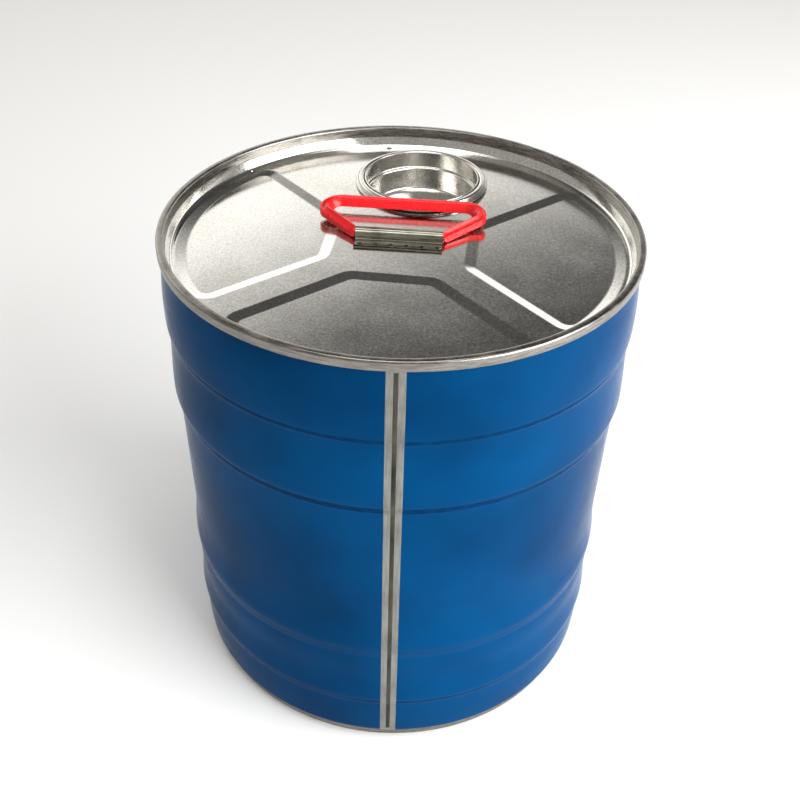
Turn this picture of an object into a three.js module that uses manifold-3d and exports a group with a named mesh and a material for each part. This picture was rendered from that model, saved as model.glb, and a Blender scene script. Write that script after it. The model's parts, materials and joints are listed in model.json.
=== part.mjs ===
// Tight-head tinplate pail: a beaded cylindrical body with a welded side seam, two seamed-on ends,
// a press-in cup closure in a crimped neck ring, and a moulded loop handle hinged in a welded clip.
// Millimetres, +Z up. Origin: centre of the base. +X runs along the handle's hinge, +Y to the closure.
import * as THREE from 'three';
import { mergeVertices } from 'three/addons/utils/BufferGeometryUtils.js';
import Module from 'manifold-3d';

const wasm = await Module();
wasm.setup();

// ---- driving dimensions -------------------------------------------------------------------------
const RIM_RADIUS = 145;            // outside of the top double seam
const HEIGHT = 315;                // floor to the top of the rim
const SHEET = 0.4;                 // tinplate thickness
const FOLD = 0.8;                  // spacing of the folded layers in a double seam
const SEAM_HEIGHT = 6.4;
const BASE_SEAM_RADIUS = 134.5;    // outside of the necked-in bottom double seam
const PANEL_DROP = 12.5;           // rim top down to the lid panel
const PANEL_Z = HEIGHT - PANEL_DROP;
const AROUND = 36;                 // facets around the can
const CLEAR = 0.3;                 // gap kept between touching pieces

// Outside radius of the wall at each height, from the bottom neck up to the top seam. Each band
// swells downwards and steps in sharply at its lower edge.
const WALL = [
  [132.2, 6.8], [136.6, 8.2], [138.4, 11], [138.6, 16], [139.3, 27], [139.2, 40],
  [140.8, 43.5], [140.2, 52], [139.5, 64], [139.9, 78], [139.7, 86.5],
  [141.3, 93], [140, 110], [139.6, 122], [140.3, 155], [141.2, 195], [141.7, 212],
  [144.2, 217], [144.1, 226], [143.1, 250], [143, 261],
  [144.6, 265], [144.8, 276], [144.3, 290], [142.6, 308],
];

const WELD_ANGLE = THREE.MathUtils.degToRad(3.6);   // side seam, turned from -Y towards +X
const WELD_WIDTH = 2.8;
const WELD_PROUD = 0.3;

const EMBOSS_ANGLE = THREE.MathUtils.degToRad(-2.5); // the lid's pressing against the hinge line
const EMBOSS_DEPTH = 1.2;
const EMBOSS_SLOPE = 7.5;
const ARM_HALF = 9.4;              // half width of the X left between the pressed sectors
const SECTOR_INNER = 39.5;         // can axis to a sector's straight inner side
const SECTOR_OUTER = 135.5;        // radius of a sector's outer side
const SECTOR_CORNER = 12;

const CLOSURE = { x: 6.9, y: 80.5, around: 28 };
const HOLE_RADIUS = 39.6;
const NECK_TOP = 4.9;              // above the lid panel
const CUP_RADIUS = 37.4;
const CUP_LOWER_RADIUS = 35.4;
const CUP_STEP = 6;                // ledge below the lid panel
const CUP_DEPTH = 22;

const HINGE = { x: -1.4, y: 1.9, z: PANEL_Z + 3.5 };
const HANDLE_TILT = THREE.MathUtils.degToRad(4.5);
const HANDLE_HALF_WIDTH = 52;
const HANDLE_REACH = 40.4;         // hinge axis to the outside of the grip
const HEEL_HALF_WIDTH = 27.1;      // where the arms leave the hinge rod
const HEEL_RADIUS = 3.25;          // the heels roll over the lid without touching it
const SHOULDER_REACH = 21.4;       // where the splayed arms turn to the sides
const ROD_RADIUS = 2.7;

const CLIP_WIDTH = 53;
const CLIP_SHEET = 0.7;
const CLIP_BORE = 3.1;
const CLIP_FRONT = -12.3;          // front edge of the clip's flange
const WELD_SPOTS = 6;
const SPOT_PITCH = 9.3;
const SPOT_RADIUS = 1.2;
const SPOT_Y = -7.5;

// ---- materials ----------------------------------------------------------------------------------
const material = (color, roughness, metalness) => new THREE.MeshStandardMaterial({ color, roughness, metalness });
const lacquer = () => material(0x0a57a3, 0.22, 0.1);
const tinplate = () => material(0xa39f95, 0.3, 0.95);
const brightTin = () => material(0xb8b4a8, 0.15, 1);
const weldSteel = () => material(0x3b3a34, 0.5, 0.8);
const compound = () => material(0x35322c, 0.8, 0);
const redPlastic = () => material(0xe8202c, 0.3, 0);
const clipSteel = () => material(0x56534a, 0.35, 0.9);

// ---- geometry helpers ---------------------------------------------------------------------------

// Merges shared corners, drops empty triangles and turns every face outwards.
function closedSolid(geometry) {
  const bare = geometry.clone();
  for (const name of Object.keys(bare.attributes)) {
    if (name !== 'position') bare.deleteAttribute(name);
  }
  const merged = mergeVertices(bare, 1e-4);
  const source = merged.index.array;
  const kept = [];
  for (let i = 0; i < source.length; i += 3) {
    const [a, b, c] = [source[i], source[i + 1], source[i + 2]];
    if (a !== b && b !== c && c !== a) kept.push(a, b, c);
  }
  if (signedVolume(merged.attributes.position, kept) < 0) kept.reverse();
  merged.setIndex(kept);
  merged.computeVertexNormals();
  return merged;
}

function signedVolume(position, index) {
  const [a, b, c] = [new THREE.Vector3(), new THREE.Vector3(), new THREE.Vector3()];
  let volume = 0;
  for (let i = 0; i < index.length; i += 3) {
    a.fromBufferAttribute(position, index[i]);
    b.fromBufferAttribute(position, index[i + 1]);
    c.fromBufferAttribute(position, index[i + 2]);
    volume += a.dot(b.cross(c));
  }
  return volume;
}

// Rounds the corners of an open path. Each point is [x, y, corner radius].
function roundedPath(points, steps = 1) {
  const path = [];
  points.forEach(([x, y, radius = 0], i) => {
    const here = new THREE.Vector2(x, y);
    if (!radius || i === 0 || i === points.length - 1) {
      path.push(here);
      return;
    }
    const before = new THREE.Vector2(...points[i - 1]).sub(here).normalize();
    const after = new THREE.Vector2(...points[i + 1]).sub(here).normalize();
    const half = Math.acos(THREE.MathUtils.clamp(before.dot(after), -1, 1)) / 2;
    const centre = before.clone().add(after).normalize().multiplyScalar(radius / Math.sin(half)).add(here);
    const start = before.multiplyScalar(radius / Math.tan(half)).add(here).sub(centre);
    const end = after.multiplyScalar(radius / Math.tan(half)).add(here).sub(centre);
    const turn = Math.atan2(start.x * end.y - start.y * end.x, start.dot(end));
    for (let k = 0; k <= steps; k += 1) {
      path.push(start.clone().rotateAround(new THREE.Vector2(), (turn * k) / steps).add(centre));
    }
  });
  return path;
}

// Gives a centreline the thickness of a sheet, as one closed outline.
function sheetOutline(path, thickness) {
  const sides = [[], []];
  path.forEach((point, i) => {
    const into = point.clone().sub(path[Math.max(i - 1, 0)]).normalize();
    const out = path[Math.min(i + 1, path.length - 1)].clone().sub(point).normalize();
    const along = into.clone().add(out).normalize();
    const widen = thickness / 2 / Math.max(along.dot(i === 0 ? out : into), 0.5);
    const normal = new THREE.Vector2(-along.y, along.x).multiplyScalar(widen);
    sides[0].push(point.clone().add(normal));
    sides[1].push(point.clone().sub(normal));
  });
  const outline = [...sides[0], ...sides[1].reverse()];
  outline.push(outline[0].clone());
  return outline;
}

const revolve = (outline, around) => closedSolid(new THREE.LatheGeometry(outline, around).rotateX(Math.PI / 2));
const revolvedSheet = (points, around) => revolve(sheetOutline(roundedPath(points), SHEET), around);

// A ring of rectangular section.
function squareRing(inner, outer, low, high, around) {
  return revolve([[inner, low], [outer, low], [outer, high], [inner, high], [inner, low]]
    .map(([r, z]) => new THREE.Vector2(r, z)), around);
}

// Joins equal outlines, given as arrays of Vector3, into one closed solid with flat ends. The ends
// are filled from their projection given by flatten.
function skinned(rings, flatten) {
  const count = rings[0].length;
  const index = [];
  for (let j = 0; j + 1 < rings.length; j += 1) {
    for (let i = 0; i < count; i += 1) {
      const k = (i + 1) % count;
      index.push(j * count + i, j * count + k, (j + 1) * count + k);
      index.push(j * count + i, (j + 1) * count + k, (j + 1) * count + i);
    }
  }
  const last = (rings.length - 1) * count;
  const outline = rings[0].map(flatten);
  const wound = THREE.ShapeUtils.isClockWise(outline);
  for (const face of THREE.ShapeUtils.triangulateShape(outline, [])) {
    const [a, b, c] = wound ? face.slice().reverse() : face;
    index.push(c, b, a, last + a, last + b, last + c);
  }
  const geometry = new THREE.BufferGeometry().setFromPoints(rings.flat());
  geometry.setIndex(index);
  return closedSolid(geometry);
}

function toManifold(geometry) {
  const vertProperties = new Float32Array(geometry.attributes.position.array);
  const triVerts = new Uint32Array(geometry.index.array);
  return new wasm.Manifold(new wasm.Mesh({ numProp: 3, vertProperties, triVerts }));
}

function fromManifold(solid) {
  const mesh = solid.simplify(0.02).getMesh();
  const geometry = new THREE.BufferGeometry();
  geometry.setAttribute('position', new THREE.BufferAttribute(new Float32Array(mesh.vertProperties), 3));
  geometry.setIndex([...mesh.triVerts]);
  return closedSolid(geometry);
}

function upright(radius, height, sides) {
  return closedSolid(new THREE.CylinderGeometry(radius, radius, height, sides).rotateX(Math.PI / 2));
}

// ---- body ---------------------------------------------------------------------------------------

// One rolled sheet: the wall's beads, hooked outwards into the two double seams.
function bodyShell() {
  const top = RIM_RADIUS - SHEET / 2;
  const base = BASE_SEAM_RADIUS - SHEET / 2;
  const wall = WALL.map(([radius, z]) => [radius - SHEET / 2, z]);
  const points = [
    [base - FOLD, SEAM_HEIGHT - 2],
    [base - FOLD, 1.6, 0.7],
    [base - 3 * FOLD, 1.6, 0.7],
    ...wall,
    [top - 3 * FOLD, HEIGHT - 1.6, 0.7],
    [top - FOLD, HEIGHT - 1.6, 0.7],
    [top - FOLD, HEIGHT - SEAM_HEIGHT + 2],
  ];
  return revolvedSheet(points, AROUND);
}

// The welded lap of the side seam, following the wall's beads from neck to rim.
function sideSeamWeld() {
  const low = 12;
  const high = HEIGHT - SEAM_HEIGHT - 1.5;
  const facet = Math.cos(Math.PI / AROUND);
  const rings = WALL.filter(([, z]) => z > low && z < high).map(([radius, z]) => {
    const back = radius * facet + CLEAR;
    const front = back + WELD_PROUD;
    const corners = [[back, -1], [back, 1], [front, 1], [front, -1]];
    return corners.map(([r, side]) => new THREE.Vector3((side * WELD_WIDTH) / 2, -r, z));
  });
  const strip = skinned(rings, (p) => new THREE.Vector2(p.x, p.y));
  return closedSolid(strip.rotateZ(WELD_ANGLE));
}

// ---- ends ---------------------------------------------------------------------------------------

// A seamed end: outside hook, seam top, chuck wall and flat panel, drawn for a top end.
function seamedEnd(radius, panelRadius, panelDrop) {
  const out = radius - SHEET / 2;
  return [
    [out - 2 * FOLD, -2.8],
    [out - 2 * FOLD, 0.2 - SEAM_HEIGHT, 0.7],
    [out, 0.2 - SEAM_HEIGHT, 0.7],
    [out, -SHEET / 2, 0.8],
    [out - 4 * FOLD, -SHEET / 2, 0.8],
    [out - 4 * FOLD, -SEAM_HEIGHT],
    [panelRadius, -SHEET / 2 - panelDrop, 2.5],
    [0, -SHEET / 2 - panelDrop],
  ];
}

// Outline of one pressed sector, pointing along -Y and drawn in by an inset.
function sectorOutline(inset) {
  const arm = (ARM_HALF + inset) * Math.SQRT2;
  const inner = SECTOR_INNER + inset;
  const outer = SECTOR_OUTER - inset;
  const corner = Math.max(SECTOR_CORNER - inset, 3);
  const reach = (Math.sqrt(2 * outer * outer - arm * arm) - arm) / 2;
  const sweep = Math.atan2(reach, reach + arm);
  const steps = 10;
  const points = [[0, -inner], [arm - inner, -inner, corner], [-reach, -reach - arm, corner]];
  for (let k = 1; k < steps; k += 1) {
    const angle = sweep * ((2 * k) / steps - 1);
    points.push([outer * Math.sin(angle), -outer * Math.cos(angle)]);
  }
  points.push([reach, -reach - arm, corner], [inner - arm, -inner, corner], [0, -inner]);
  return roundedPath(points).slice(0, -1);
}

// A tapered slab between two insets of the sector outline, turned to its place on the lid.
function sectorSlab(lowInset, low, highInset, high, angle) {
  const ring = (inset, z) => sectorOutline(inset).map((p) => new THREE.Vector3(p.x, p.y, z));
  const slab = skinned([ring(lowInset, low), ring(highInset, high)], (p) => new THREE.Vector2(p.x, p.y));
  return toManifold(closedSolid(slab.rotateZ(angle)));
}

// The lid: countersunk panel with three pressed sectors and the closure's hole.
function topEnd() {
  const panel = seamedEnd(RIM_RADIUS, 137.9, PANEL_DROP).map(([r, z, corner]) => [r, z + HEIGHT, corner]);
  let lid = toManifold(revolvedSheet(panel, AROUND));
  for (const turn of [-Math.PI / 2, 0, Math.PI / 2]) {
    const angle = turn + EMBOSS_ANGLE;
    const floor = PANEL_Z - EMBOSS_DEPTH;
    const grade = EMBOSS_SLOPE / EMBOSS_DEPTH;
    const below = sectorSlab(EMBOSS_SLOPE, floor - SHEET, SHEET * 0.5 * grade, PANEL_Z - SHEET * 1.5, angle);
    const above = sectorSlab(EMBOSS_SLOPE, floor, 0, PANEL_Z, angle);
    const open = sectorSlab(0, PANEL_Z, -0.1, PANEL_Z + 1, angle);
    const joint = sectorSlab(SHEET * 0.5 * grade, PANEL_Z - SHEET * 1.5, 0, PANEL_Z - SHEET / 2, angle);
    lid = lid.add(below).add(joint).subtract(above).subtract(open);
  }
  const hole = upright(HOLE_RADIUS, 20, CLOSURE.around).translate(CLOSURE.x, CLOSURE.y, PANEL_Z);
  return fromManifold(lid.subtract(toManifold(hole)));
}

function bottomEnd() {
  const panel = seamedEnd(BASE_SEAM_RADIUS, 128.6, 8).map(([r, z, corner]) => [r, -z, corner]);
  return revolvedSheet(panel, AROUND);
}

// Lining compound in the fold of a double seam, between the end's hook and the body's hook.
function seamCompound(radius, z) {
  const middle = radius - SHEET / 2 - 2 * FOLD;
  return squareRing(middle - 0.5, middle + 0.5, z - 0.22, z + 0.22, AROUND);
}

// ---- closure ------------------------------------------------------------------------------------

// Ring crimped into the lid's hole: foot under the lid, flange above it, curled top, seat inside.
function closureNeck() {
  const top = NECK_TOP - SHEET / 2;
  const seat = CUP_RADIUS + 1;
  return revolvedSheet([
    [41, -0.9],
    [39.1, -0.9, 0.3],
    [39.1, 1.2, 0.3],
    [43.2, 1.2, 0.35],
    [43.2, 2, 0.35],
    [41.7, 2, 0.3],
    [41.7, top, 1],
    [seat, top, 1],
    [seat, -CUP_STEP - 0.9, 0.4],
    [CUP_LOWER_RADIUS + 0.9, -CUP_STEP - 0.9],
  ], CLOSURE.around);
}

const closureGasket = () => squareRing(39.9, 42.8, 0.25, 0.75, CLOSURE.around);

// Press-in cup: plain rim, wall, ledge on the neck's seat, lower wall and floor.
function closurePlug() {
  return revolvedSheet([
    [CUP_RADIUS + 0.1, NECK_TOP - SHEET / 2],
    [CUP_RADIUS, -CUP_STEP, 0.6],
    [CUP_LOWER_RADIUS, -CUP_STEP, 0.6],
    [CUP_LOWER_RADIUS, -CUP_DEPTH, 2.5],
    [0, -CUP_DEPTH],
  ], CLOSURE.around);
}

// ---- handle and clip ----------------------------------------------------------------------------

// Plan of the loop's outer edge, from the right heel round the grip to the left heel.
function handleOutline() {
  const heel = [HEEL_HALF_WIDTH - 0.5, -4.4];
  const shoulder = [HANDLE_HALF_WIDTH, SHOULDER_REACH, 9.5];
  const corner = [HANDLE_HALF_WIDTH, HANDLE_REACH, 14];
  const right = [heel, shoulder, corner];
  const left = right.map(([x, y, radius]) => [-x, y, radius]).reverse();
  return roundedPath([...right, ...left], 4);
}

// Carries a section along the loop. Section points are [distance inwards, height] pairs, given for
// the arms and for the grip, which is shallower where it lies over the closure.
function loopSweep(atArms, atGrip, trim) {
  const path = handleOutline();
  const rings = path.slice(trim, path.length - trim).map((point, i) => {
    const k = i + trim;
    const into = point.clone().sub(path[Math.max(k - 1, 0)]).normalize();
    const out = path[Math.min(k + 1, path.length - 1)].clone().sub(point).normalize();
    const along = into.clone().add(out).normalize();
    const inwards = new THREE.Vector2(-along.y, along.x);
    const share = THREE.MathUtils.smoothstep(point.y, SHOULDER_REACH, HANDLE_REACH - 4);
    return atArms.map(([u, w], n) => {
      const place = point.clone().addScaledVector(inwards, u);
      return new THREE.Vector3(place.x, place.y, THREE.MathUtils.lerp(w, atGrip[n][1], share));
    });
  });
  return toManifold(skinned(rings, (p) => new THREE.Vector2(p.y, p.z)));
}

// Loop handle in its own plane: the hinge rod lies on the local X axis and the grip towards +Y.
// The loop is an inverted channel, closed at the heels where the rod joins it.
function handleLoop() {
  const outside = loopSweep(
    [[0, -3.1], [0.2, 1.1], [1, 1.6], [4.4, 2.5], [5.6, 2.2], [8.6, -2.4], [8.4, -3.1]],
    [[0, -1.05], [0.2, 1.1], [1, 1.6], [4.4, 2.5], [5.6, 2.2], [8.6, -2.4], [8.4, -2.8]], 0);
  const channel = loopSweep(
    [[2, -4.4], [2.2, -0.4], [4.6, 0.5], [6.2, -2.6], [6.4, -4.4]],
    [[2, -4.4], [2.2, -0.4], [4.6, 0.5], [6.2, -2.6], [6.4, -4.4]], 2);
  const rod = crossBar(ROD_RADIUS, 2 * HEEL_HALF_WIDTH + 1);
  const heel = crossBar(HEEL_RADIUS, 120);
  const infront = block(110, 20, -20);
  const between = block(2 * HEEL_HALF_WIDTH, 30, -5);
  const loop = outside.subtract(channel).subtract(infront.subtract(heel)).subtract(between).add(rod);
  return fromManifold(loop);
}

function crossBar(radius, length) {
  return toManifold(closedSolid(new THREE.CylinderGeometry(radius, radius, length, 16).rotateZ(Math.PI / 2)));
}

// A block centred across the hinge line, starting at the given distance along Y.
function block(width, length, start) {
  const box = new THREE.BoxGeometry(width, length, 20).translate(0, start + length / 2, 0);
  return toManifold(closedSolid(box));
}

// Clip: welded flange in front, arch over the hinge rod, free edge behind it.
function handleClip() {
  const wall = CLIP_BORE + CLIP_SHEET / 2;
  const low = CLEAR + CLIP_SHEET / 2;
  const axis = HINGE.z - PANEL_Z;
  const path = roundedPath([
    [CLIP_FRONT, low],
    [HINGE.y - wall, low, 0.5],
    [HINGE.y - wall, axis + wall, wall - 0.01],
    [HINGE.y + wall, axis + wall, wall - 0.01],
    [HINGE.y + wall, CLEAR],
  ], 5);
  const outline = new THREE.Shape(sheetOutline(path, CLIP_SHEET).slice(0, -1));
  const folded = new THREE.ExtrudeGeometry(outline, {
    depth: CLIP_WIDTH, bevelEnabled: false, steps: 1,
  });
  folded.applyMatrix4(new THREE.Matrix4().makeBasis(
    new THREE.Vector3(0, 1, 0), new THREE.Vector3(0, 0, 1), new THREE.Vector3(1, 0, 0)));
  folded.translate(HINGE.x - CLIP_WIDTH / 2, 0, 0);
  let clip = toManifold(closedSolid(folded));
  for (let k = 0; k < WELD_SPOTS; k += 1) {
    clip = clip.subtract(toManifold(upright(SPOT_RADIUS + CLEAR, 4, 12).translate(spotX(k), SPOT_Y, 0)));
  }
  return fromManifold(clip);
}

const spotX = (k) => HINGE.x + (k - (WELD_SPOTS - 1) / 2) * SPOT_PITCH;
const spotWeld = () => upright(SPOT_RADIUS, 0.5, 10);

// ---- assembly -----------------------------------------------------------------------------------
const pail = new THREE.Group();

function add(name, geometry, look, x = 0, y = 0, z = 0) {
  const mesh = new THREE.Mesh(geometry, look);
  mesh.name = name;
  mesh.position.set(x, y, z);
  pail.add(mesh);
  return mesh;
}

add('body_shell', bodyShell(), lacquer());
add('side_seam_weld', sideSeamWeld(), weldSteel());
add('top_end', topEnd(), tinplate());
add('top_seam_compound', seamCompound(RIM_RADIUS, HEIGHT - 0.9), compound());
add('bottom_end', bottomEnd(), tinplate());
add('bottom_seam_compound', seamCompound(BASE_SEAM_RADIUS, 0.9), compound());
add('closure_neck', closureNeck(), brightTin(), CLOSURE.x, CLOSURE.y, PANEL_Z);
add('closure_gasket', closureGasket(), compound(), CLOSURE.x, CLOSURE.y, PANEL_Z);
add('closure_plug', closurePlug(), brightTin(), CLOSURE.x, CLOSURE.y, PANEL_Z);
add('handle_clip', handleClip(), clipSteel(), 0, 0, PANEL_Z);
for (let k = 0; k < WELD_SPOTS; k += 1) {
  add(`spot_weld_${k + 1}`, spotWeld(), weldSteel(), spotX(k), SPOT_Y, PANEL_Z + CLEAR + 0.25);
}
add('handle', handleLoop(), redPlastic(), HINGE.x, HINGE.y, HINGE.z).rotation.x = HANDLE_TILT;

export default pail;
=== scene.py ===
"""Tight-head paint can: fine meshes, procedural materials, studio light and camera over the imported
frame. Dimensions are millimetres, and MM turns them into the metres of the meshes. CLOSURE and HINGE
come from the frame and are in metres already."""
import bpy
import bmesh
import json
import math
from mathutils import Matrix, Vector, noise
from mathutils.geometry import tessellate_polygon


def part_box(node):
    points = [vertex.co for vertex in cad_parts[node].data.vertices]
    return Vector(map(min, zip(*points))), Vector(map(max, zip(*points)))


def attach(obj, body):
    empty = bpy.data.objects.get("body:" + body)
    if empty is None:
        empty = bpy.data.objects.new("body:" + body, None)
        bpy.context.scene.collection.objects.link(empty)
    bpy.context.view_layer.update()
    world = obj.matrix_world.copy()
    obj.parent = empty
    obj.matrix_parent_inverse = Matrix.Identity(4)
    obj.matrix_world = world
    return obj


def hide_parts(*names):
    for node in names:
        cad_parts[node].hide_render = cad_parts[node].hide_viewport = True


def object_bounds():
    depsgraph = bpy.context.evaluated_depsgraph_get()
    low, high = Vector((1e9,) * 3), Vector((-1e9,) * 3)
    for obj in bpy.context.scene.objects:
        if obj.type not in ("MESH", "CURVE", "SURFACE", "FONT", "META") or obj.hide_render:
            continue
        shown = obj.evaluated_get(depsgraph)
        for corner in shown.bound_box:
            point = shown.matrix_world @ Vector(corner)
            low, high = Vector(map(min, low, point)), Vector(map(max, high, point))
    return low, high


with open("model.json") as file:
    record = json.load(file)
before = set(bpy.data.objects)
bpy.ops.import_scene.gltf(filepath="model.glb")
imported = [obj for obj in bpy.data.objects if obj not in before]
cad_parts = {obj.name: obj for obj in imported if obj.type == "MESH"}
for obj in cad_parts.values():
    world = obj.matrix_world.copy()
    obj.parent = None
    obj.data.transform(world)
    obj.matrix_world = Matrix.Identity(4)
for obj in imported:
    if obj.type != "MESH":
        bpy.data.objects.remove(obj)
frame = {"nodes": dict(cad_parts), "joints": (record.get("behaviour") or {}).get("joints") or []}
cad_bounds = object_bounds()

# ---- driving dimensions, mm ---------------------------------------------------------------------
MM = 0.001
RIM_RADIUS = cad_bounds[1][0] / MM
HEIGHT = cad_bounds[1][2] / MM
SHEET = 0.4
SEAM_HEIGHT = 6.4
BASE_SEAM_RADIUS = 134.5
PANEL_DROP = 12.5
PANEL_Z = HEIGHT - PANEL_DROP
CHUCK_RADIUS = 137.9
BASE_DROP = 8
BASE_CHUCK_RADIUS = 128.6
BASE_PANEL_RADIUS = 120

# Outside radius and height of the wall, knot by knot from the bottom seam to the top one.
WALL = [
    (133.0, 6.7), (136.4, 7.9), (138.2, 10.8), (138.6, 16), (139.1, 26), (139.2, 36), (139.3, 38.5),
    (140.5, 42.6), (140.8, 45), (140.2, 53), (139.6, 64), (139.9, 76), (139.8, 82),
    (139.7, 84.5), (140.1, 87.6), (140.2, 89.4), (141.1, 92.6), (141.2, 95.5), (140.2, 107), (139.6, 120),
    (140.2, 155), (141.1, 193), (141.5, 206), (141.8, 209.8), (143.8, 215), (144.2, 218.5),
    (144.0, 228), (143.3, 243), (143.0, 255), (143.1, 259), (144.4, 263.8), (144.7, 267),
    (144.8, 276), (144.2, 291), (143.0, 303), (142.6, 308.6),
]
MEAN_RADIUS = 141
DENT_DEPTH = 0.1
UNDERCUT_LEAN = 0.26
FOOT_HEIGHT = 20

WELD_ANGLE = math.radians(3.6)
MARGIN_WIDTH = 10.3
MARGIN_STEPS = 4
WELD_WIDTH = 2.8
WELD_BOTTOM = 11
WELD_TOP = 308

EMBOSS_ANGLE = math.radians(-2.5)
EMBOSS_DEPTH = 1.2
EMBOSS_SLOPE = 7.5
ARM_HALF = 9.4
SECTOR_INNER = 39.5
SECTOR_OUTER = 135.5
SECTOR_CORNER = 12
PANEL_RADIUS = 135.9

NECK_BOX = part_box("closure_neck")
CLOSURE = Vector((
    (NECK_BOX[0][0] + NECK_BOX[1][0]) / 2,
    (NECK_BOX[0][1] + NECK_BOX[1][1]) / 2,
    PANEL_Z * MM,
))
HOLE_RADIUS = 39.6
NECK_TOP = 4.9
CUP_RADIUS = 37.4
CUP_LOWER_RADIUS = 35.4
CUP_STEP = 6
CUP_DEPTH = 22

HINGE = Vector(next(joint["pos_m"] for joint in frame["joints"] if joint["name"] == "handle_swing"))
HANDLE_TILT = math.radians(4.5)
HANDLE_HALF_WIDTH = 52
HANDLE_REACH = 40.4
HEEL_HALF_WIDTH = 27.1
HEEL_RADIUS = 3.25
SHOULDER_REACH = 21.4
ROD_RADIUS = 2.7

CLIP_WIDTH = 53
CLIP_SHEET = 0.7
CLIP_BORE = 3.1
CLIP_FRONT = -12.3
KNUCKLE_RIDGES = 6
RIDGE_DEPTH = 0.2
CLEAR = 0.3
WELD_SPOTS = 6
SPOT_PITCH = 9.3
SPOT_RADIUS = 1.2
SPOT_Y = -7.5

COLUMNS = 240
ON_AXIS = 1e-6
# A dark spot painted on the lid, standing for the shade in a small pit.
PIT_SHADE_SPOT = (-19.2, 131.8, PANEL_Z)
PIT_SHADE_SPOT_RADIUS = 1.9


# ---- mesh helpers -------------------------------------------------------------------------------

def new_piece(name, bm, body, node, materials, sharp):
    """Finishes a bmesh as a piece that rides on a body and stands for a CAD node."""
    bmesh.ops.remove_doubles(bm, verts=bm.verts, dist=2e-6)
    bmesh.ops.recalc_face_normals(bm, faces=bm.faces)
    for face in bm.faces:
        face.smooth = True
    mesh = bpy.data.meshes.new(name)
    bm.to_mesh(mesh)
    bm.free()
    mesh.set_sharp_from_angle(angle=math.radians(sharp))
    for material in materials:
        mesh.materials.append(material)
    piece = bpy.data.objects.new(name, mesh)
    bpy.context.scene.collection.objects.link(piece)
    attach(piece, body)
    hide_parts(node)
    return piece


def rounded(points, step=15):
    """An open path with its corners rounded. Each point is (x, y) or (x, y, corner radius)."""
    path = []
    for i, point in enumerate(points):
        here = Vector(point[:2])
        radius = point[2] if len(point) > 2 else 0
        if not radius or i in (0, len(points) - 1):
            path.append(here)
            continue
        before = (Vector(points[i - 1][:2]) - here).normalized()
        after = (Vector(points[i + 1][:2]) - here).normalized()
        half = before.angle(after) / 2
        centre = here + (before + after).normalized() * radius / math.sin(half)
        start = here + before * radius / math.tan(half) - centre
        end = here + after * radius / math.tan(half) - centre
        turn = math.atan2(start.x * end.y - start.y * end.x, start.dot(end))
        steps = max(2, math.ceil(math.degrees(abs(turn)) / step))
        for k in range(steps + 1):
            path.append(centre + Matrix.Rotation(turn * k / steps, 2) @ start)
    return path


def smooth_through(knots, spacing):
    """Points along a monotone cubic curve through (radius, height) knots."""
    slopes = [0.0] * len(knots)
    rates = [(b[0] - a[0]) / (b[1] - a[1]) for a, b in zip(knots, knots[1:])]
    slopes[0] = rates[0]
    slopes[-1] = rates[-1]
    for i in range(1, len(knots) - 1):
        if rates[i - 1] * rates[i] > 0:
            slopes[i] = 2 * rates[i - 1] * rates[i] / (rates[i - 1] + rates[i])
    points = []
    for i, ((r0, z0), (r1, z1)) in enumerate(zip(knots, knots[1:])):
        span = z1 - z0
        steps = max(3, round(span / spacing))
        for k in range(steps):
            t = k / steps
            radius = ((1 + 2 * t) * (1 - t) ** 2 * r0 + t * (1 - t) ** 2 * span * slopes[i]
                      + t * t * (3 - 2 * t) * r1 + t * t * (t - 1) * span * slopes[i + 1])
            points.append(Vector((radius, z0 + t * span)))
    points.append(Vector(knots[-1]))
    return points


def sheet_outline(path, thickness):
    """The closed outline of a sheet whose centreline is path."""
    left = []
    right = []
    for i, point in enumerate(path):
        into = (point - path[max(i - 1, 0)]).normalized()
        out = (path[min(i + 1, len(path) - 1)] - point).normalized()
        along = (into + out).normalized()
        widen = thickness / 2 / max(along.dot(out if i == 0 else into), 0.5)
        normal = Vector((-along.y, along.x)) * widen
        left.append(point + normal)
        right.append(point - normal)
    return left + right[::-1]


def even_columns(count):
    """Evenly spaced azimuths once round."""
    return [2 * math.pi * k / count for k in range(count)]


def wall_columns():
    """Azimuths round the can, with one on each edge of the bare margin along the weld."""
    middle = WELD_ANGLE - math.pi / 2
    half = MARGIN_WIDTH / 2 / MEAN_RADIUS
    inside = [middle - half + 2 * half * k / MARGIN_STEPS for k in range(MARGIN_STEPS + 1)]
    gap = 2 * math.pi - 2 * half
    steps = COLUMNS - MARGIN_STEPS
    outside = [middle + half + gap * k / steps for k in range(1, steps)]
    return inside + outside


def revolve(bm, outline, columns, closed=True, centre=Vector((0, 0, 0)), wobble=None):
    """Turns an outline of (radius, height) points round a vertical axis. Each face comes with its
    column and its row in the outline."""
    rings = []
    for azimuth in columns:
        ring = []
        for point in outline:
            radius = max(point.x, 0) + (wobble(azimuth, point.y) if wobble else 0)
            place = Vector((radius * math.cos(azimuth), radius * math.sin(azimuth), point.y)) * MM
            ring.append(bm.verts.new(place + centre))
        rings.append(ring)
    spans = len(outline) if closed else len(outline) - 1
    faces = []
    for j, ring in enumerate(rings):
        following = rings[(j + 1) % len(rings)]
        for i in range(spans):
            k = (i + 1) % len(outline)
            starts_on_axis = outline[i].x < ON_AXIS
            ends_on_axis = outline[k].x < ON_AXIS
            if starts_on_axis and ends_on_axis:
                continue
            corners = [ring[i], following[i], following[k], ring[k]]
            if starts_on_axis:
                corners = [ring[i], following[k], ring[k]]
            elif ends_on_axis:
                corners = [ring[i], following[i], ring[k]]
            faces.append((bm.faces.new(corners), j, i))
    return faces


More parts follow.
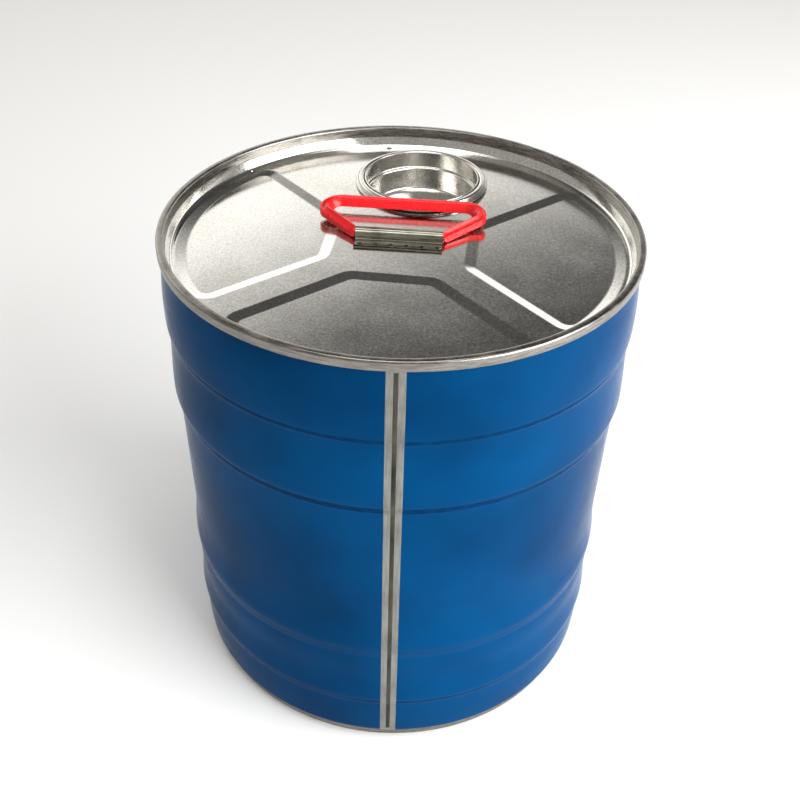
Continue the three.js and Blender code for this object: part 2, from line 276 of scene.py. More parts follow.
def bridge(bm, loops):
    """Quads between loops of the same length, and a flat face over the last."""
    for a, b in zip(loops, loops[1:]):
        for i in range(len(a)):
            k = (i + 1) % len(a)
            bm.faces.new((a[i], a[k], b[k], b[i]))
    bm.faces.new(loops[-1])


def solid_between(bm, loops):
    """A closed solid through loops of the same length."""
    bridge(bm, loops)
    bm.faces.new(loops[0][::-1])


def direction(azimuth, elevation):
    """Unit vector from the can towards azimuth, turned from -Y towards +X, and elevation."""
    level = math.cos(elevation)
    return Vector((math.sin(azimuth) * level, -math.cos(azimuth) * level, math.sin(elevation)))


def apply_modifiers(piece):
    """Puts the result of the piece's modifiers in place of its mesh."""
    depsgraph = bpy.context.evaluated_depsgraph_get()
    mesh = bpy.data.meshes.new_from_object(piece.evaluated_get(depsgraph))
    piece.modifiers.clear()
    old = piece.data
    piece.data = mesh
    bpy.data.meshes.remove(old)


# ---- material helpers ---------------------------------------------------------------------------

class Look:
    """A node material built round one Principled shader."""

    def __init__(self, name, **values):
        self.material = bpy.data.materials.new(name)
        self.material.use_nodes = True
        self.nodes = self.material.node_tree.nodes
        self.links = self.material.node_tree.links
        self.shader = self.nodes["Principled BSDF"]
        for socket, value in values.items():
            self.shader.inputs[socket.replace("_", " ")].default_value = value
        self.place = self.nodes.new("ShaderNodeTexCoord").outputs["Object"]

    def node(self, kind, **settings):
        made = self.nodes.new("ShaderNode" + kind)
        for key, value in settings.items():
            setattr(made, key, value)
        return made

    def link(self, source, target):
        self.links.new(source, target)

    def stretched(self, scale):
        mapping = self.node("Mapping")
        mapping.inputs["Scale"].default_value = scale
        self.link(self.place, mapping.inputs["Vector"])
        return mapping.outputs["Vector"]

    def noise(self, scale, detail=3, roughness=0.55, stretch=None):
        texture = self.node("TexNoise")
        texture.inputs["Scale"].default_value = scale
        texture.inputs["Detail"].default_value = detail
        texture.inputs["Roughness"].default_value = roughness
        self.link(self.stretched(stretch) if stretch else self.place, texture.inputs["Vector"])
        return texture.outputs["Fac"]

    def ramp(self, source, *stops):
        ramp = self.node("ValToRGB")
        elements = ramp.color_ramp.elements
        while len(elements) < len(stops):
            elements.new(0.5)
        for element, (position, colour) in zip(elements, stops):
            element.position = position
            element.color = (*colour, 1) if isinstance(colour, tuple) else (colour, colour, colour, 1)
        self.link(source, ramp.inputs["Fac"])
        return ramp.outputs["Color"]

    def mix(self, factor, a, b):
        mix = self.node("Mix", data_type="RGBA")
        for socket, value in ((mix.inputs["Factor"], factor), (mix.inputs["A"], a), (mix.inputs["B"], b)):
            if isinstance(value, (int, float)):
                socket.default_value = value
            elif isinstance(value, tuple):
                socket.default_value = (*value, 1)
            else:
                self.link(value, socket)
        return mix.outputs["Result"]

    def math(self, operation, a, b):
        node = self.node("Math", operation=operation)
        for socket, value in zip(node.inputs, (a, b)):
            if isinstance(value, (int, float)):
                socket.default_value = value
            else:
                self.link(value, socket)
        return node.outputs["Value"]

    def colour(self, source):
        self.link(source, self.shader.inputs["Base Color"])

    def rough(self, source):
        self.link(source, self.shader.inputs["Roughness"])

    def bump(self, source, distance, strength):
        bump = self.node("Bump")
        bump.inputs["Strength"].default_value = strength
        bump.inputs["Distance"].default_value = distance
        self.link(source, bump.inputs["Height"])
        previous = self.shader.inputs["Normal"].links
        if previous:
            self.link(previous[0].from_socket, bump.inputs["Normal"])
        self.link(bump.outputs["Normal"], self.shader.inputs["Normal"])


def blue_lacquer():
    """Glossy blue lacquer, slightly clouded, with fine lighter streaks painted in as highlights."""
    look = Look("blue_lacquer", Specular_IOR_Level=0.02)
    cloud = look.noise(9, 3)
    sheen_streaks = look.ramp(look.noise(260, 4, 0.7, (1, 1, 0.12)), (0.66, 0.0), (0.72, 1.0))
    patch = look.ramp(look.noise(22, 2), (0.5, 0.0), (0.7, 1.0))
    base = look.ramp(cloud, (0.35, (0.0, 0.029, 0.094)), (0.65, (0.0, 0.048, 0.150)))
    # Painted highlight: lighter blue streaks in patches over the wall.
    painted_sheen = look.math("MULTIPLY", look.math("MULTIPLY", sheen_streaks, patch), 0.2)
    look.colour(look.mix(painted_sheen, base, (0.01, 0.09, 0.22)))
    look.rough(look.ramp(look.noise(70, 4), (0.3, 0.14), (0.75, 0.26)))
    look.bump(look.noise(14, 2, 0.4), 0.0009, 0.3)
    look.bump(look.noise(900, 2), 0.00003, 0.2)
    return look.material


def groove_shade_lacquer():
    """The same lacquer under the beads, rougher and painted darker as the shade that falls under them,
    with a fine speckle in it.
    """
    look = Look("groove_shade_lacquer", Roughness=0.5, Specular_IOR_Level=0.01)
    dust_and_shade = look.noise(180, 3, 0.6, (1, 1, 3))
    look.colour(look.ramp(dust_and_shade, (0.35, (0.0, 0.020, 0.066)), (0.7, (0.0, 0.036, 0.112))))
    look.bump(dust_and_shade, 0.00003, 0.3)
    return look.material


def tinplate(name="tinplate", rougher=0.0):
    """Bright tinned sheet with a crystalline grain, and a dark spot painted on the lid as the shade in a
    small pit.
    """
    look = Look(name, Metallic=1.0)
    grain = look.noise(620, 3, 0.6)
    fine = look.noise(1300, 2, 0.6)
    cloud = look.noise(22, 4, 0.6)
    dark = (0.46, 0.445, 0.415)
    light = (0.76, 0.75, 0.72)
    shade = look.mix(0.25, look.mix(0.6, grain, fine), cloud)
    sheen = look.ramp(shade, (0.38, dark), (0.62, light))
    away = look.node("VectorMath", operation="DISTANCE")
    look.link(look.place, away.inputs[0])
    away.inputs[1].default_value = Vector(PIT_SHADE_SPOT) * MM
    pit_shade = look.math("LESS_THAN", away.outputs["Value"], PIT_SHADE_SPOT_RADIUS * MM)
    look.colour(look.mix(pit_shade, sheen, (0.012, 0.011, 0.01)))
    look.rough(look.ramp(look.mix(0.5, grain, cloud), (0.35, 0.09 + rougher), (0.65, 0.17 + rougher)))
    look.bump(grain, 0.00003, 0.35)
    look.bump(fine, 0.00001, 0.3)
    look.bump(look.noise(8, 2, 0.3), 0.0005, 0.2)
    return look.material


def shaded_seam_tin():
    """The folded seams and the top of the lid's chuck wall: rougher where the seaming rolls have rubbed
    them, and painted darker than the lid's tin as shade.
    """
    look = Look("shaded_seam_tin", Metallic=1.0, Roughness=0.3)
    around = look.noise(160, 4, 0.65, (0.5, 0.5, 6))
    look.colour(look.ramp(around, (0.35, (0.15, 0.14, 0.128)), (0.66, (0.29, 0.275, 0.25))))
    look.rough(look.ramp(around, (0.3, 0.2), (0.7, 0.36)))
    look.bump(around, 0.00003, 0.4)
    return look.material


def bare_margin():
    """Bare sheet, for the strip along the weld and the inside of the can."""
    look = Look("bare_margin", Metallic=1.0, Roughness=0.3)
    streaks = look.noise(900, 3, 0.6, (1, 1, 0.04))
    cloud = look.noise(40, 3)
    shade = look.mix(0.5, streaks, cloud)
    look.colour(look.ramp(shade, (0.35, (0.17, 0.17, 0.16)), (0.65, (0.32, 0.32, 0.30))))
    look.rough(look.ramp(cloud, (0.3, 0.25), (0.7, 0.42)))
    look.bump(streaks, 0.00004, 0.4)
    return look.material


def weld_steel():
    """Heat-darkened steel with the weld's fine ripple."""
    look = Look("weld_steel", Metallic=0.85, Roughness=0.5)
    ripple = look.node("TexWave", wave_type="BANDS", bands_direction="Z")
    ripple.inputs["Scale"].default_value = 260
    ripple.inputs["Distortion"].default_value = 1.5
    look.link(look.place, ripple.inputs["Vector"])
    stain = look.noise(120, 4, 0.6, (1, 1, 0.25))
    look.colour(look.ramp(stain, (0.35, (0.022, 0.021, 0.016)), (0.68, (0.09, 0.086, 0.07))))
    look.rough(look.ramp(stain, (0.3, 0.38), (0.7, 0.6)))
    look.bump(ripple.outputs["Fac"], 0.00006, 0.6)
    return look.material


def clip_steel():
    """Dull folded sheet with lines drawn along the hinge."""
    look = Look("clip_steel", Metallic=1.0, Roughness=0.28, Anisotropic=0.4)
    lines = look.noise(700, 3, 0.6, (0.05, 1, 1))
    cloud = look.noise(90, 3)
    shade = look.mix(0.45, lines, cloud)
    look.colour(look.ramp(shade, (0.35, (0.19, 0.182, 0.15)), (0.66, (0.50, 0.485, 0.41))))
    look.rough(look.ramp(lines, (0.3, 0.18), (0.7, 0.38)))
    look.bump(lines, 0.00005, 0.5)
    return look.material


def red_plastic():
    """Moulded red plastic, a little translucent."""
    look = Look("red_plastic", Roughness=0.26, Subsurface_Weight=0.1, Specular_IOR_Level=0.4)
    look.shader.inputs["Subsurface Radius"].default_value = (0.004, 0.0008, 0.0006)
    cloud = look.noise(60, 3)
    look.colour(look.ramp(cloud, (0.3, (0.60, 0.005, 0.008)), (0.7, (0.69, 0.008, 0.012))))
    look.rough(look.ramp(look.noise(300, 3), (0.3, 0.2), (0.7, 0.34)))
    look.bump(look.noise(1400, 2), 0.00002, 0.3)
    return look.material


def lining_compound():
    """Matt dark rubber of the hidden rings."""
    look = Look("lining_compound", Roughness=0.8)
    grain = look.noise(900, 3)
    look.colour(look.ramp(grain, (0.3, (0.03, 0.028, 0.024)), (0.7, (0.06, 0.056, 0.05))))
    look.bump(grain, 0.00004, 0.5)
    return look.material


BLUE = blue_lacquer()
GROOVE_SHADE = groove_shade_lacquer()
TIN = tinplate()
BRIGHT_TIN = tinplate("bright_tin", 0.06)
SHADED_SEAM_TIN = shaded_seam_tin()
MARGIN = bare_margin()
WELD = weld_steel()
CLIP = clip_steel()
RED = red_plastic()
COMPOUND = lining_compound()


# ---- body ---------------------------------------------------------------------------------------

def dent(azimuth, z):
    """Slight unevenness of the rolled sheet, gone at both seams."""
    fade = min(max((z - 12) / 25, 0), max((300 - z) / 25, 0), 1)
    spot = Vector((math.cos(azimuth) * 2.2, math.sin(azimuth) * 2.2, z / 60))
    return DENT_DEPTH * fade * (noise.noise(spot) - 0.4)


def body_shell():
    """The rolled sheet: lacquered, bare along the weld and inside, and painted darker under the beads as
    shade.
    """
    outside = smooth_through(WALL, 2.2)
    inside = [Vector((point.x - SHEET, point.y)) for point in smooth_through(WALL, 8)]
    outline = outside + inside[::-1]
    columns = wall_columns()
    bm = bmesh.new()
    for face, column, row in revolve(bm, outline, columns, wobble=dent):
        if column < MARGIN_STEPS or row >= len(outside) - 1:
            face.material_index = 1
        # Undersides of the beads take a copy of the lacquer painted darker as shade.
        elif undercut(outside, row):
            face.material_index = 2
    new_piece("wall", bm, "can", "body_shell", [BLUE, MARGIN, GROOVE_SHADE], 60)


def undercut(outside, row):
    """True on the underside of a bead, where the wall leans out quickly as it rises."""
    rise = outside[row + 1] - outside[row]
    return rise.x > UNDERCUT_LEAN * rise.y and outside[row].y > FOOT_HEIGHT


def side_seam_weld():
    """A low domed strip over the lap, following the wall's beads."""
    # Across the strip: shares of its half width, and heights above the wall.
    section_shape = ((-1, -0.25), (-0.9, 0.1), (-0.45, 0.2), (0.45, 0.2), (0.9, 0.1), (1, -0.25))
    rows = [point for point in smooth_through(WALL, 2.2) if WELD_BOTTOM < point.y < WELD_TOP]
    bm = bmesh.new()
    loops = []
    for point in rows:
        section = []
        for side, proud in section_shape:
            azimuth = WELD_ANGLE - math.pi / 2 + side * WELD_WIDTH / 2 / point.x
            radius = point.x + dent(azimuth, point.y) + proud
            place = Vector((radius * math.cos(azimuth), radius * math.sin(azimuth), point.y))
            section.append(bm.verts.new(place * MM))
        loops.append(section)
    solid_between(bm, loops)
    new_piece("weld_line", bm, "can", "side_seam_weld", [WELD], 50)


# ---- ends ---------------------------------------------------------------------------------------

def sector_outline(inset):
    """One pressed sector of the lid, pointing along -Y, drawn in by inset."""
    arm = (ARM_HALF + inset) * math.sqrt(2)
    inner = SECTOR_INNER + inset
    outer = SECTOR_OUTER - inset
    corner = max(SECTOR_CORNER - inset, 3)
    reach = (math.sqrt(2 * outer * outer - arm * arm) - arm) / 2
    sweep = math.atan2(reach, reach + arm)
    steps = 36
    points = [(0, -inner), (arm - inner, -inner, corner), (-reach, -reach - arm, corner)]
    for k in range(2, steps - 1):
        angle = sweep * (2 * k / steps - 1)
        points.append((outer * math.sin(angle), -outer * math.cos(angle)))
    points += [(reach, -reach - arm, corner), (inner - arm, -inner, corner), (0, -inner)]
    path = []
    for i, point in enumerate(points):
        if len(point) == 3:
            path += corner_arc(points[i - 1], point, points[i + 1])
        else:
            path.append(Vector(point))
    return path[:-1]


def corner_arc(before, corner, after):
    """Nine points round one corner, so that outlines of every inset match."""
    here = Vector(corner[:2])
    into = (Vector(before[:2]) - here).normalized()
    out = (Vector(after[:2]) - here).normalized()
    half = into.angle(out) / 2
    centre = here + (into + out).normalized() * corner[2] / math.sin(half)
    start = here + into * corner[2] / math.tan(half) - centre
    end = here + out * corner[2] / math.tan(half) - centre
    turn = math.atan2(start.x * end.y - start.y * end.x, start.dot(end))
    return [centre + Matrix.Rotation(turn * k / 8, 2) @ start for k in range(9)]


def slope_section():
    """(inset, depth) pairs across a pressed slope, soft at both edges and level beyond them."""
    margin = 0.3
    path = rounded([
        (-1, 0),
        (0.6, 0, 8),
        (EMBOSS_SLOPE - 0.6, -EMBOSS_DEPTH, 8),
        (EMBOSS_SLOPE + 1, -EMBOSS_DEPTH),
    ], 3)
    across = [(point.x, point.y) for point in path[1:-1]]
    return [(-margin, 0), *across, (EMBOSS_SLOPE + margin, -EMBOSS_DEPTH)]


def lid_panel(bm):
    """The flat panel with its three pressed sectors and the closure's hole."""
    flat_loops = []
    for turn in (-math.pi / 2, 0, math.pi / 2):
        loops = []
        for inset, depth in slope_section():
            ring = []
            for point in sector_outline(inset):
                spot = Matrix.Rotation(turn + EMBOSS_ANGLE, 2) @ point
                ring.append(bm.verts.new(Vector((spot.x, spot.y, PANEL_Z + depth)) * MM))
            loops.append(ring)
        bridge(bm, loops)
        flat_loops.append(loops[0])
    hole = []
    for azimuth in even_columns(96):
        spot = Vector((HOLE_RADIUS * math.cos(azimuth), HOLE_RADIUS * math.sin(azimuth), 0)) * MM
        hole.append(bm.verts.new(spot + CLOSURE))
    rim = []
    for azimuth in even_columns(COLUMNS):
        spot = Vector((PANEL_RADIUS * math.cos(azimuth), PANEL_RADIUS * math.sin(azimuth), PANEL_Z))
        rim.append(bm.verts.new(spot * MM))
    polygons = [rim, hole, *flat_loops]
    corners = [vert for loop in polygons for vert in loop]
    for a, b, c in tessellate_polygon([[vert.co for vert in loop] for loop in polygons]):
        bm.faces.new((corners[a], corners[b], corners[c]))


def end_profile(radius, panel_radius, panel_edge, drop):
    """From the panel's edge up the chuck wall, over the seam and down to its folded lower edge."""
    return rounded([
        (panel_edge, -drop),
        (panel_radius, -drop, 2.0),
        (radius - 4.9, -SEAM_HEIGHT, 3),
        (radius - 4.7, 0, 1.5),
        (radius, 0, 1.5),
        (radius, -SEAM_HEIGHT + 0.1, 0.9),
        (radius - 2.2, -SEAM_HEIGHT + 0.1),
    ])


def top_end():
    """The lid in one sheet: panel, chuck wall and seam."""
    bm = bmesh.new()
    lid_panel(bm)
    path = end_profile(RIM_RADIUS, CHUCK_RADIUS, PANEL_RADIUS, PANEL_DROP)
    profile = [Vector((point.x, point.y + HEIGHT)) for point in path]
    # The seam and the upper chuck wall take the tin that is painted darker as shade.
    for face, _, row in revolve(bm, profile, even_columns(COLUMNS), closed=False):
        face.material_index = 1 if profile[row].x > RIM_RADIUS - 6.6 else 0
    piece = new_piece("lid", bm, "can", "top_end", [TIN, SHADED_SEAM_TIN], 40)
    thicken(piece)


def thicken(piece):
    """Gives a single surface the sheet's thickness, on its inner side."""
    solidify = piece.modifiers.new("sheet", "SOLIDIFY")
    solidify.thickness = SHEET * MM
    solidify.offset = -1
    apply_modifiers(piece)
    piece.data.set_sharp_from_angle(angle=math.radians(40))


def bottom_end():
    """The base in one sheet, with a ridge pressed round its panel."""
    bm = bmesh.new()
    crest = BASE_DROP - 0.8
    ridge = rounded([
        (0, -BASE_DROP),
        (104, -BASE_DROP, 4),
        (106, -crest, 4),
        (112, -crest, 4),
        (114, -BASE_DROP, 4),
        (BASE_PANEL_RADIUS, -BASE_DROP),
    ])
    profile = end_profile(BASE_SEAM_RADIUS, BASE_CHUCK_RADIUS, BASE_PANEL_RADIUS, BASE_DROP)
    outline = [Vector((point.x, -point.y)) for point in ridge[:-1] + profile]
    # The seam takes the tin that is painted darker as shade.
    for face, _, row in revolve(bm, outline, even_columns(COLUMNS), closed=False):
        face.material_index = 1 if outline[row].x > BASE_SEAM_RADIUS - 1.2 else 0
    piece = new_piece("base", bm, "can", "bottom_end", [TIN, SHADED_SEAM_TIN], 40)
    thicken(piece)


# ---- closure ------------------------------------------------------------------------------------

def closure_neck():
    """The ring crimped into the lid's hole, with a ledge that the cup sits on."""
    top = NECK_TOP - SHEET / 2
    seat = CUP_RADIUS + 1
    path = rounded([
        (41, -0.9),
        (39.1, -0.9, 0.35),
        (39.1, 0.7, 0.35),
        (43.2, 0.7, 0.45),
        (43.2, 2.0, 0.45),
        (40.7, 2.3, 0.4),
        (41.9, 3.0, 0.6),
        (41.7, top, 1.2),
        (seat, top, 1.1),
        (seat, -CUP_STEP - 0.9, 0.5),
        (CUP_LOWER_RADIUS + 0.9, -CUP_STEP - 0.9),
    ])
    bm = bmesh.new()
    revolve(bm, sheet_outline(path, SHEET), even_columns(128), centre=CLOSURE)
    new_piece("neck_ring", bm, "can", "closure_neck", [BRIGHT_TIN], 45)


def closure_plug():
    """The stepped cup pressed into the neck."""
    path = rounded([
        (CUP_RADIUS - 0.55, NECK_TOP - 1.1),
        (CUP_RADIUS - 0.35, NECK_TOP - 0.25, 0.2),
        (CUP_RADIUS + 0.1, NECK_TOP - 0.25, 0.2),
        (CUP_RADIUS, -CUP_STEP, 0.8),
        (CUP_LOWER_RADIUS, -CUP_STEP, 0.8),
        (CUP_LOWER_RADIUS - 0.3, -CUP_DEPTH, 3),
        (8, -CUP_DEPTH, 5),
        (6, -CUP_DEPTH + 1.2, 4),
        (0, -CUP_DEPTH + 1.3),
    ])
    start_of_lip = 3    # the sheet begins part way round the roll of its lip
    bm = bmesh.new()
    revolve(bm, sheet_outline(path[start_of_lip:], SHEET), even_columns(128), centre=CLOSURE)
    new_piece("plug_cup", bm, "plug", "closure_plug", [BRIGHT_TIN], 45)


# ---- clip and handle ----------------------------------------------------------------------------

def clip_outline():
    """Section of the clip across the hinge, as (y, z) from the lid panel under the hinge."""
    axis = HINGE.z / MM - PANEL_Z
    hinge_y = HINGE.y / MM
    middle = CLIP_BORE + CLIP_SHEET / 2
    low = CLEAR + CLIP_SHEET / 2
    path = [Vector((CLIP_FRONT, low)), Vector((CLIP_FRONT + 3, low)), Vector((SPOT_Y - 2.2, low))]
    path += rounded([(SPOT_Y + 2.2, low), (hinge_y - middle, low, 0.5), (hinge_y - middle, axis)])
    for k in range(1, 36):
        angle = math.pi * (1 - k / 36)
        path.append(Vector((hinge_y + middle * math.cos(angle), axis + middle * math.sin(angle))))
    path += [Vector((hinge_y + middle, axis)), Vector((hinge_y + middle, low))]
    outline = sheet_outline(path, CLIP_SHEET)
    ridged = []
    for point in outline:
        out = point - Vector((hinge_y, axis))
        if point.y > axis and out.length > middle:
            wave = 0.5 - 0.5 * math.cos(2 * KNUCKLE_RIDGES * out.angle(Vector((1, 0))))
            point = point - out.normalized() * RIDGE_DEPTH * wave
        ridged.append(point)
    return ridged


def handle_clip():
    """The folded clip over the handle's rod, with a clearance hole round each spot weld."""
    bm = bmesh.new()
    outline = clip_outline()
    loops = []
    end = CLIP_WIDTH / 2
    for x in (-end, -end + 0.3, end - 0.3, end):
        ring = []
        for point in outline:
            place = Vector((x, point.x, point.y + PANEL_Z)) * MM
            ring.append(bm.verts.new(place + Vector((HINGE.x, 0, 0))))
        loops.append(ring)
    solid_between(bm, loops)
    piece = new_piece("hinge_clip", bm, "can", "handle_clip", [CLIP], 30)
    cutters = bmesh.new()
    hole = (SPOT_RADIUS + 0.2) * MM
    for k in range(WELD_SPOTS):
        place = Matrix.Translation((spot_x(k), SPOT_Y * MM, (PANEL_Z + 1) * MM))
        bmesh.ops.create_cone(cutters, cap_ends=True, segments=24, radius1=hole, radius2=hole,
                              depth=4 * MM, matrix=place)
    cut(piece, cutters)
    for k in range(WELD_SPOTS):
        spot_weld(k)


def spot_x(k):
    """Where spot weld k sits along the clip, in metres."""
    return HINGE.x + (k - (WELD_SPOTS - 1) / 2) * SPOT_PITCH * MM


def cut(piece, cutters, operation="DIFFERENCE"):
    """Cuts a bmesh out of the piece, or joins it on, and removes the bmesh."""
    mesh = bpy.data.meshes.new("cutters")
    cutters.to_mesh(mesh)
    cutters.free()
    tool = bpy.data.objects.new("cutters", mesh)
    bpy.context.scene.collection.objects.link(tool)
    boolean = piece.modifiers.new("cut", "BOOLEAN")
    boolean.object = tool
    boolean.operation = operation
    boolean.solver = "EXACT"
    apply_modifiers(piece)
    bpy.data.objects.remove(tool)
    piece.data.set_sharp_from_angle(angle=math.radians(35))


def spot_weld(k):
    """A fused spot, dished where the electrode pressed."""
    low = PANEL_Z + CLEAR
    outline = rounded([(0, low), (SPOT_RADIUS, low), (SPOT_RADIUS, low + 0.25, 0.1),
                       (SPOT_RADIUS - 0.4, low + 0.2, 0.2), (0, low + 0.08)])
    bm = bmesh.new()
    centre = Vector((spot_x(k), SPOT_Y * MM, 0))
    revolve(bm, outline, even_columns(20), closed=False, centre=centre)
    new_piece(f"weld_nugget_{k + 1}", bm, "can", f"spot_weld_{k + 1}", [WELD], 60)


def handle_path():
    """Plan of the loop's outer edge, evenly filled in along its straights."""
    heel = (HEEL_HALF_WIDTH - 0.5, -4.4)
    shoulder = (HANDLE_HALF_WIDTH, SHOULDER_REACH, 9.5)
    corner = (HANDLE_HALF_WIDTH, HANDLE_REACH, 14)
    right = [heel, shoulder, corner]
    left = [(-point[0], *point[1:]) for point in reversed(right)]
    coarse = rounded(right + left, 5)
    path = [coarse[0]]
    for a, b in zip(coarse, coarse[1:]):
        steps = max(1, round((b - a).length / 4))
        path += [a.lerp(b, k / steps) for k in range(1, steps + 1)]
    return path


def loop_sweep(bm, at_arms, at_grip, trim):
    """Carries a section of (distance inwards, height) points along the loop."""
    path = handle_path()
    loops = []
    for k in range(trim, len(path) - trim):
        point = path[k]
        into = (point - path[max(k - 1, 0)]).normalized()
        out = (path[min(k + 1, len(path) - 1)] - point).normalized()
        along = (into + out).normalized()
        inwards = Vector((-along.y, along.x))
        share = min(max((point.y - SHOULDER_REACH) / (HANDLE_REACH - 4 - SHOULDER_REACH), 0), 1)
        share = share * share * (3 - 2 * share)
        ring = []
        for (u, w), (_, grip_w) in zip(at_arms, at_grip):
            place = point + inwards * u
            ring.append(bm.verts.new(Vector((place.x, place.y, w + (grip_w - w) * share)) * MM))
        loops.append(ring)
    solid_between(bm, loops)
    bmesh.ops.recalc_face_normals(bm, faces=bm.faces)


def channel_section(lip, inner_lip):
    """Outside of the handle's channel, as (distance inwards, height), from its outer lip to its inner."""
    outer_wall = [(0.3, lip), (0.0, lip + 0.3), (0.0, 0.5), (0.3, 0.95)]
    groove = [(1.3, 1.05), (1.7, 0.8), (2.3, 0.35), (2.8, 0.55)]
    crown = [(3.7, 1.9), (4.3, 2.5), (4.9, 2.5), (5.5, 2.1)]
    inner_wall = [(8.4, -2.0), (8.6, -2.5), (8.3, inner_lip)]
    return outer_wall + groove + crown + inner_wall


def handle_loop():
    """The moulded loop: an open channel, rounded heels, room for the clip and the hinge rod."""
    bm = bmesh.new()
    loop_sweep(bm, channel_section(-3.1, -3.1), channel_section(-1.05, -2.8), 0)
    piece = new_piece("loop_handle", bm, "handle", "handle", [RED], 40)
    channel = [(2, -4.4), (2.2, -0.4), (4.6, 0.5), (6.2, -2.6), (6.4, -4.4)]
    hollow = bmesh.new()
    loop_sweep(hollow, channel, channel, 6)
    cut(piece, hollow)
    cut(piece, heel_cutter())
    cut(piece, middle_cutter())
    rod = bmesh.new()
    across = Matrix.Rotation(math.pi / 2, 4, "Y")
    rod_radius = ROD_RADIUS * MM
    rod_length = (2 * HEEL_HALF_WIDTH + 1) * MM
    bmesh.ops.create_cone(rod, cap_ends=True, segments=40, radius1=rod_radius, radius2=rod_radius,
                          depth=rod_length, matrix=across)
    cut(piece, rod, "UNION")
    for face in piece.data.polygons:
        face.use_smooth = True
    piece.data.transform(Matrix.Translation(HINGE) @ Matrix.Rotation(HANDLE_TILT, 4, "X"))


def heel_cutter():
    """All that lies behind the axis and outside the rounded heels, which turn just clear of the lid."""
    deep = 20
    section = [(-deep, -deep), (0, -deep)]
    for k in range(13):
        angle = -math.pi / 2 - math.pi * k / 12
        section.append((HEEL_RADIUS * math.cos(angle), HEEL_RADIUS * math.sin(angle)))
    section += [(0, deep), (-deep, deep)]
    cutters = bmesh.new()
    loops = []
    for x in (-60, 60):
        loops.append([cutters.verts.new(Vector((x, y, z)) * MM) for y, z in section])
    solid_between(cutters, loops)
    bmesh.ops.recalc_face_normals(cutters, faces=cutters.faces)
    return cutters


def middle_cutter():
    """The room between the two heels, where the clip sits."""
    cutters = bmesh.new()
    size = Matrix.Diagonal((2 * HEEL_HALF_WIDTH * MM, 30 * MM, 30 * MM, 1))
    bmesh.ops.create_cube(cutters, size=1, matrix=Matrix.Translation((0, 5 * MM, 0)) @ size)
    return cutters


def carried_over():
    """Hidden rings keep their CAD shape and take a lining compound material."""
    for name in ("top_seam_compound", "bottom_seam_compound", "closure_gasket"):
        mesh = frame["nodes"][name].data
        mesh.materials.clear()
        mesh.materials.append(COMPOUND)


# ---- stage --------------------------------------------------------------------------------------

def floor():
    """A plain pale floor."""
    bm = bmesh.new()
    bmesh.ops.create_grid(bm, x_segments=2, y_segments=2, size=6)
    mesh = bpy.data.meshes.new("floor")
    bm.to_mesh(mesh)
    bm.free()
    plane = bpy.data.objects.new("floor", mesh)
    bpy.context.scene.collection.objects.link(plane)
    look = Look("floor", Base_Color=(0.86, 0.86, 0.86, 1), Roughness=0.7)
    mesh.materials.append(look.material)


def soft_light(name, azimuth, elevation, distance, width, height, power):
    """A large panel light aimed at the upper wall, placed by its direction as seen from the can."""
    target = Vector((0, 0, 0.25))
    away = direction(azimuth, elevation)
    data = bpy.data.lights.new(name, "AREA")
    data.shape = "RECTANGLE"
    data.size = width
    data.size_y = height
    data.energy = power
    lamp = bpy.data.objects.new(name, data)
    lamp.location = target + away * distance
    lamp.rotation_euler = away.to_track_quat("Z", "Y").to_euler()
    bpy.context.scene.collection.objects.link(lamp)


def lights():
    """A dim panel overhead and a window-like one at the right front."""
    soft_light("overhead", 0, math.radians(84), 2.4, 1.6, 1.6, 26)
    soft_light("window_right", math.radians(62), math.radians(20), 1.9, 2.0, 1.5, 82)


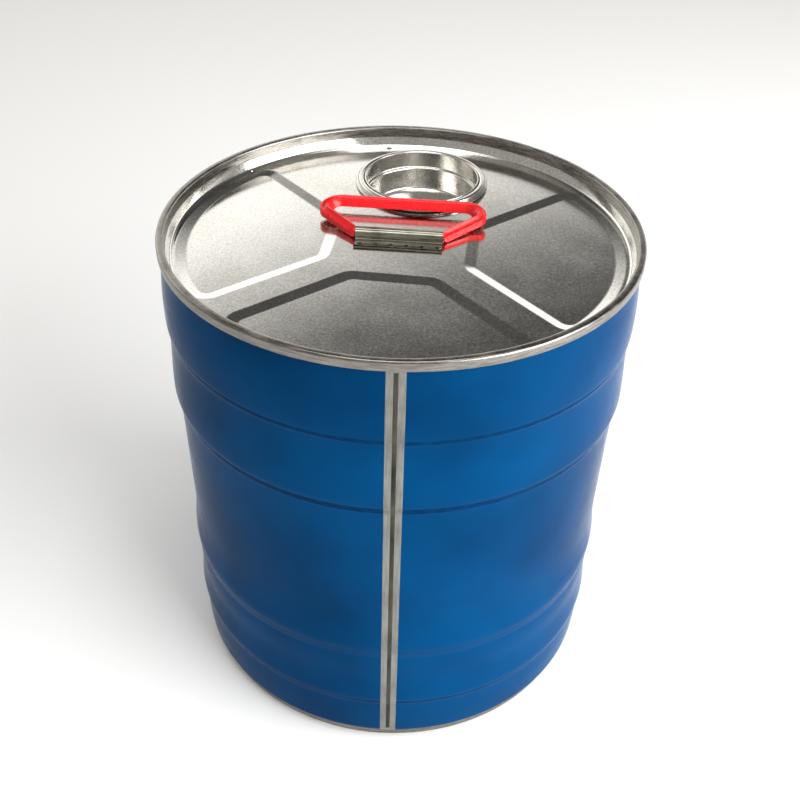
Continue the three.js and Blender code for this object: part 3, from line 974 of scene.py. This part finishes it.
def surroundings():
    """A quiet studio: bright low down behind the can and to its left, dim overhead and in front."""
    world = bpy.data.worlds.new("studio")
    world.use_nodes = True
    nodes = world.node_tree.nodes
    links = world.node_tree.links
    split = nodes.new("ShaderNodeSeparateXYZ")
    links.new(nodes.new("ShaderNodeTexCoord").outputs["Generated"], split.inputs[0])
    slant = nodes.new("ShaderNodeMath")
    slant.operation = "MULTIPLY_ADD"
    links.new(split.outputs["X"], slant.inputs[0])
    slant.inputs[1].default_value = 0.35
    links.new(split.outputs["Z"], slant.inputs[2])
    ramp = nodes.new("ShaderNodeValToRGB")
    stops = [
        (0.0, 1.0), (0.39, 0.95), (0.42, 0.72), (0.445, 0.43),
        (0.485, 0.31), (0.51, 0.115), (0.56, 0.055), (1.0, 0.05),
    ]
    elements = ramp.color_ramp.elements
    while len(elements) < len(stops):
        elements.new(0.5)
    for element, (position, value) in zip(elements, stops):
        element.position = position
        element.color = (value, value * 0.985, value * 0.95, 1)
    links.new(slant.outputs[0], ramp.inputs["Fac"])
    behind = nodes.new("ShaderNodeMapRange")
    behind.inputs["From Min"].default_value = 0.1
    behind.inputs["From Max"].default_value = 0.5
    links.new(split.outputs["Y"], behind.inputs["Value"])
    sides = nodes.new("ShaderNodeMix")
    sides.data_type = "RGBA"
    sides.inputs["A"].default_value = (0.24, 0.235, 0.22, 1)
    links.new(behind.outputs["Result"], sides.inputs["Factor"])
    links.new(ramp.outputs["Color"], sides.inputs["B"])
    links.new(sides.outputs["Result"], nodes["Background"].inputs["Color"])
    nodes["Background"].inputs["Strength"].default_value = 1.9
    bpy.context.scene.world = world


def camera():
    """The view from just above and a little to the right, close to the can."""
    azimuth = math.radians(3.93)
    elevation = math.radians(27.91)
    distance = 0.6525
    pan = math.radians(-0.19)
    pitch = math.radians(-37.28)
    tilt = math.radians(1.59)
    rim_centre = Vector((0, 0, HEIGHT * MM))
    data = bpy.data.cameras.new("camera")
    data.lens = 48.42
    data.sensor_width = 36
    data.clip_start = 0.01
    eye = bpy.data.objects.new("camera", data)
    place = Matrix.Translation(rim_centre + direction(azimuth, elevation) * distance)
    turn = Matrix.Rotation(azimuth + pan, 4, "Z")
    dip = Matrix.Rotation(math.pi / 2 + pitch, 4, "X")
    roll = Matrix.Rotation(tilt, 4, "Z")
    eye.matrix_world = place @ turn @ dip @ roll
    bpy.context.scene.collection.objects.link(eye)
    bpy.context.scene.camera = eye


body_shell()
side_seam_weld()
top_end()
bottom_end()
closure_neck()
closure_plug()
handle_clip()
handle_loop()
carried_over()
floor()
lights()
surroundings()
camera()
bpy.context.scene.view_settings.view_transform = "Standard"
